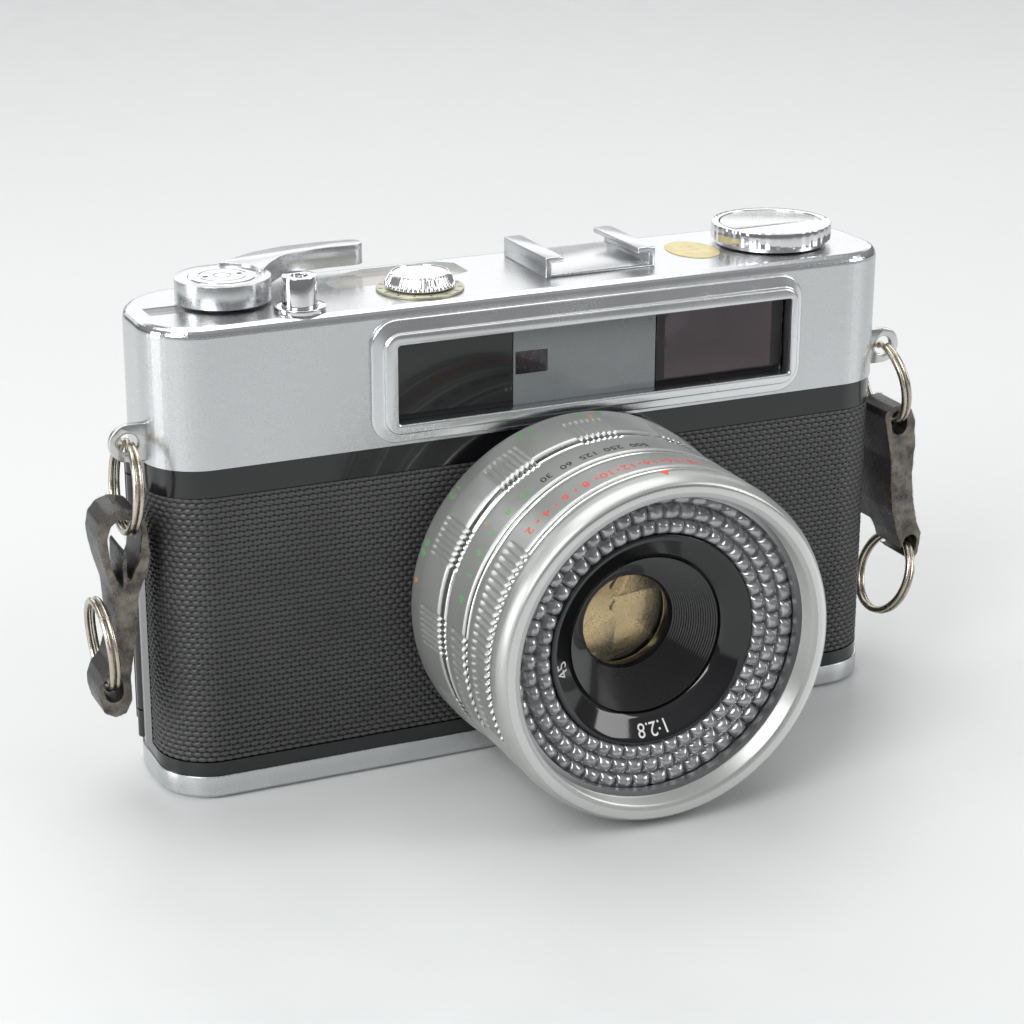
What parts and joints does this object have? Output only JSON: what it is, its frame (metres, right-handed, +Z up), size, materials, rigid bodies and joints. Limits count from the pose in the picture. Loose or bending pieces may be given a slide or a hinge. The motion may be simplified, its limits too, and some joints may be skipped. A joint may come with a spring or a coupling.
{
  "type": "film camera",
  "caption": "Compact 35 mm film camera with a fixed lens in three setting rings, a light cell round the lens, a window strip, a rapid advance lever, leatherette and strap tabs on split rings.",
  "frame": {"origin": "mouth of the tripod socket, in the middle of the base plate's lower face", "axes": "+X along the body's width, to the right of someone who faces the lens; -Y is the way the lens looks; +Z up"},
  "size_m": [0.1622, 0.0697, 0.0903],
  "materials": {
    "black_casting": "gloss black paint",
    "satin_chrome": "satin, bead blasted",
    "bright_chrome": "polished",
    "bright_steel": "bright",
    "leatherette": "embossed weave",
    "frame_metal": "satin with polished bevels",
    "gloss_black": "gloss",
    "frosted_plastic": "frosted back",
    "coated_glass": "coated",
    "finder_brown": "dark brown",
    "matt_black": "matt",
    "clear_glass": "clear",
    "clear_plastic": "clear",
    "meter_card": "matt card",
    "needle_red": "matt",
    "counter_white": "matt",
    "dial_scale": "satin",
    "satin_steel": "satin",
    "sticker_gold": "foil paper",
    "inner_aluminium": "machined",
    "inner_steel": "machined",
    "brass_bush": "machined",
    "ring_satin": "satin anodised, polished lips",
    "bubble_plastic": "moulded lenslets",
    "cell_dark": "dark selenium",
    "baffle_black": "black anodised, grooved",
    "amber_glass": "amber coated",
    "blade_steel": "thin blades",
    "ring_wire": "worn nickel wire",
    "tab_leather": "smooth black face, worn grey suede edges"
  },
  "bodies": {
    "camera_body": {"body_casting": "black_casting", "top_cover": "satin_chrome", "base_plate": "satin_chrome", "tripod_socket": "bright_steel", "leatherette_front": "leatherette", "window_frame": "frame_metal", "name_plate": "gloss_black", "frosted_window": "frosted_plastic", "rangefinder_window": "coated_glass", "viewfinder_window": "coated_glass", "finder_housing": "finder_brown", "eyepiece_frame": "matt_black", "eyepiece_lens": "clear_glass", "meter_window": "clear_plastic", "meter_movement": "meter_card", "counter_window": "clear_plastic", "release_collar": "bright_chrome", "dial_ring": "dial_scale", "accessory_shoe": "satin_steel", "inspection_sticker": "sticker_gold", "case_screws": "bright_steel", "hinge_pin": "inner_steel", "lens_mount": "inner_aluminium", "strap_lug_left": "bright_steel", "strap_lug_right": "bright_steel"},
    "back_door": {"back_door": "black_casting", "leatherette_back": "leatherette", "pressure_plate": "matt_black"},
    "door_latch": {"door_latch": "bright_chrome"},
    "advance_lever": {"advance_lever": "satin_chrome", "lever_cap": "satin_steel"},
    "frame_counter": {"frame_counter_disc": "counter_white"},
    "sprocket": {"sprocket_shaft": "inner_aluminium"},
    "take_up": {"take_up_spool": "matt_black"},
    "shutter_release": {"release_button": "bright_chrome"},
    "film_speed_dial": {"film_speed_dial": "bright_chrome"},
    "meter_needle": {"meter_needle": "needle_red"},
    "rewind_bush": {"rewind_bush": "brass_bush"},
    "rewind_shaft": {"rewind_knob": "bright_chrome", "rewind_fork": "inner_steel"},
    "rewind_crank": {"rewind_crank": "satin_steel"},
    "rewind_release": {"rewind_release": "bright_steel"},
    "focus_ring": {"focus_ring": "ring_satin"},
    "lens_unit": {"lens_barrel": "inner_aluminium", "front_ring": "ring_satin", "bubble_glass": "bubble_plastic", "selenium_cell": "cell_dark", "name_ring": "gloss_black", "cone_baffle": "baffle_black", "front_element": "amber_glass", "rear_element": "clear_glass", "shutter_blades": "blade_steel"},
    "speed_ring": {"speed_ring": "ring_satin"},
    "aperture_ring": {"aperture_ring": "ring_satin"},
    "upper_ring_left": {"upper_ring_left": "ring_wire"},
    "leather_tab_left": {"leather_tab_left": "tab_leather"},
    "lower_ring_left": {"lower_ring_left": "ring_wire"},
    "upper_ring_right": {"upper_ring_right": "ring_wire"},
    "leather_tab_right": {"leather_tab_right": "tab_leather"},
    "lower_ring_right": {"lower_ring_right": "ring_wire"}
  },
  "joints": [
    {"name": "back_door_open", "type": "hinge", "parent": "camera_body", "child": "back_door", "pos_m": [-0.0682, 0.0068, 0.032], "axis": [0, 0, 1], "range_deg": [0, 90]},
    {"name": "door_latch_slide", "type": "slide", "parent": "camera_body", "child": "door_latch", "axis": [0, 0, 1], "range_m": [0, 0.003], "stiffness_N_per_m": 150},
    {"name": "film_advance", "type": "hinge", "parent": "camera_body", "child": "advance_lever", "pos_m": [-0.053, 0.001, 0.085], "axis": [0, 0, 1], "range_deg": [0, 170]},
    {"name": "frame_counter_turn", "type": "hinge", "parent": "camera_body", "child": "frame_counter", "pos_m": [-0.062, -0.0008, 0.082], "axis": [0, 0, 1], "range_deg": [0, 9]},
    {"name": "sprocket_turn", "type": "hinge", "parent": "camera_body", "child": "sprocket", "pos_m": [-0.0295, 0.0015, 0.032], "axis": [0, 0, 1], "range_deg": [0, 340]},
    {"name": "take_up_turn", "type": "hinge", "parent": "camera_body", "child": "take_up", "pos_m": [-0.051, 0.0005, 0.032], "axis": [0, 0, 1], "range_deg": [0, 340]},
    {"name": "shutter_release_press", "type": "slide", "parent": "camera_body", "child": "shutter_release", "axis": [0, 0, -1], "range_m": [0, 0.0022], "stiffness_N_per_m": 300},
    {"name": "film_speed_turn", "type": "hinge", "parent": "camera_body", "child": "film_speed_dial", "pos_m": [-0.0195, -0.0049, 0.085], "axis": [0, 0, 1], "range_deg": [-150, 150]},
    {"name": "meter_needle_swing", "type": "hinge", "parent": "camera_body", "child": "meter_needle", "pos_m": [-0.012, 0.007, 0.081], "axis": [0, 0, 1], "range_deg": [-18, 14]},
    {"name": "rewind_spin", "type": "hinge", "parent": "camera_body", "child": "rewind_bush", "pos_m": [0.052, 0, 0.08], "axis": [0, 0, 1], "continuous": true},
    {"name": "rewind_lift", "type": "slide", "parent": "rewind_bush", "child": "rewind_shaft", "axis": [0, 0, 1], "range_m": [0, 0.007]},
    {"name": "rewind_crank_fold", "type": "hinge", "parent": "rewind_shaft", "child": "rewind_crank", "pos_m": [0.052, -0.0022, 0.0882], "axis": [1, 0, 0], "range_deg": [0, 150]},
    {"name": "rewind_release_press", "type": "slide", "parent": "camera_body", "child": "rewind_release", "axis": [0, 0, 1], "range_m": [0, 0.0015], "stiffness_N_per_m": 150},
    {"name": "focus_turn", "type": "hinge", "parent": "camera_body", "child": "focus_ring", "pos_m": [0.00435, -0.0235, 0.0315], "axis": [0, 1, 0], "range_deg": [0, 101]},
    {"name": "focus_travel", "type": "slide", "parent": "camera_body", "child": "lens_unit", "axis": [0, -1, 0], "range_m": [0, 0.0024]},
    {"name": "shutter_speed_turn", "type": "hinge", "parent": "lens_unit", "child": "speed_ring", "pos_m": [0.00435, -0.0355, 0.0315], "axis": [0, 1, 0], "range_deg": [0, 75]},
    {"name": "aperture_turn", "type": "hinge", "parent": "lens_unit", "child": "aperture_ring", "pos_m": [0.00435, -0.0445, 0.0315], "axis": [0, 1, 0], "range_deg": [-12, 66]},
    {"name": "upper_ring_left_swing", "type": "hinge", "parent": "camera_body", "child": "upper_ring_left", "pos_m": [-0.0728, -0.0065, 0.064], "axis": [0, 1, 0], "range_deg": [0, 60]},
    {"name": "leather_tab_left_swing", "type": "hinge", "parent": "upper_ring_left", "child": "leather_tab_left", "pos_m": [-0.074, -0.0065, 0.04885], "axis": [0, 1, 0], "range_deg": [0, 10]},
    {"name": "lower_ring_left_swing", "type": "hinge", "parent": "leather_tab_left", "child": "lower_ring_left", "pos_m": [-0.0783, -0.0065, 0.0214], "axis": [0, 1, 0], "range_deg": [-10, 2]},
    {"name": "upper_ring_right_swing", "type": "hinge", "parent": "camera_body", "child": "upper_ring_right", "pos_m": [0.0728, -0.0065, 0.064], "axis": [0, -1, 0], "range_deg": [0, 60]},
    {"name": "leather_tab_right_swing", "type": "hinge", "parent": "upper_ring_right", "child": "leather_tab_right", "pos_m": [0.0749, -0.0065, 0.04895], "axis": [0, -1, 0], "range_deg": [0, 10]},
    {"name": "lower_ring_right_swing", "type": "hinge", "parent": "leather_tab_right", "child": "lower_ring_right", "pos_m": [0.0788, -0.0065, 0.0252], "axis": [0, -1, 0], "range_deg": [-8, 8]}
  ],
  "couplings": [
    {"joint": "frame_counter_turn", "follows": "film_advance", "ratio": 0.05},
    {"joint": "sprocket_turn", "follows": "film_advance", "ratio": 2},
    {"joint": "take_up_turn", "follows": "film_advance", "ratio": 2},
    {"joint": "focus_turn", "follows": "focus_travel", "rad_per_m": 727.22}
  ]
}
